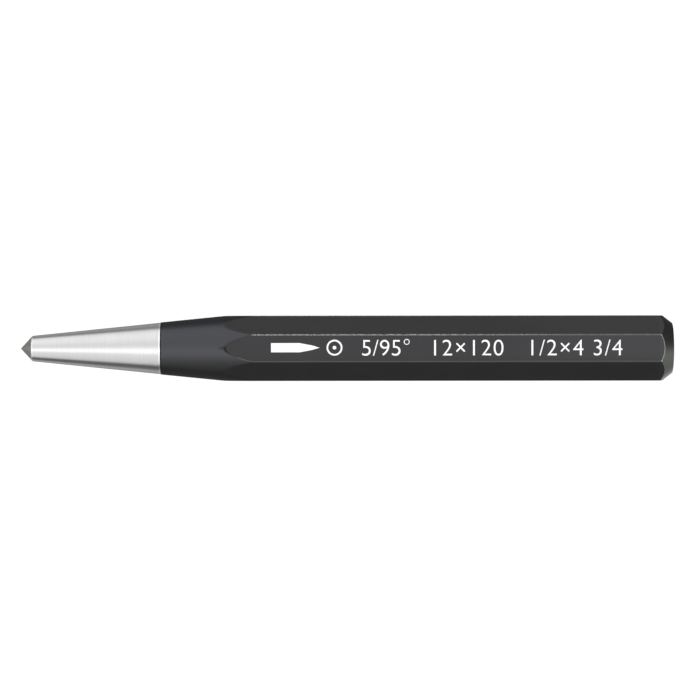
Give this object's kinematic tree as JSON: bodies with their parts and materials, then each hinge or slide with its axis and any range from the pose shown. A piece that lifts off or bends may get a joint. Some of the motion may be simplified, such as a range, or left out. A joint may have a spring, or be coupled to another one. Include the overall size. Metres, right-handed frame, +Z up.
{
  "type": "centre punch",
  "caption": "Octagonal steel centre punch with a ground conical point, a round lacquered neck and a chamfered striking head.",
  "frame": {"origin": "under the middle of the punch, on the surface that it lies on: the centre of the bottom of its bounding box", "axes": "+X along the punch from the point to the striking head, +Z up out of the flat that carries the marking, +Y across the flats"},
  "size_m": [0.12, 0.012, 0.012],
  "materials": {
    "point_steel": "satin",
    "taper_steel": "satin",
    "lacquer": "satin",
    "head_steel": "satin",
    "marking_paint": "matte"
  },
  "bodies": {
    "root": {"point": "point_steel", "ground_taper": "taper_steel", "neck": "lacquer", "octagonal_shank": "lacquer", "striking_head": "head_steel"}
  },
  "joints": []
}
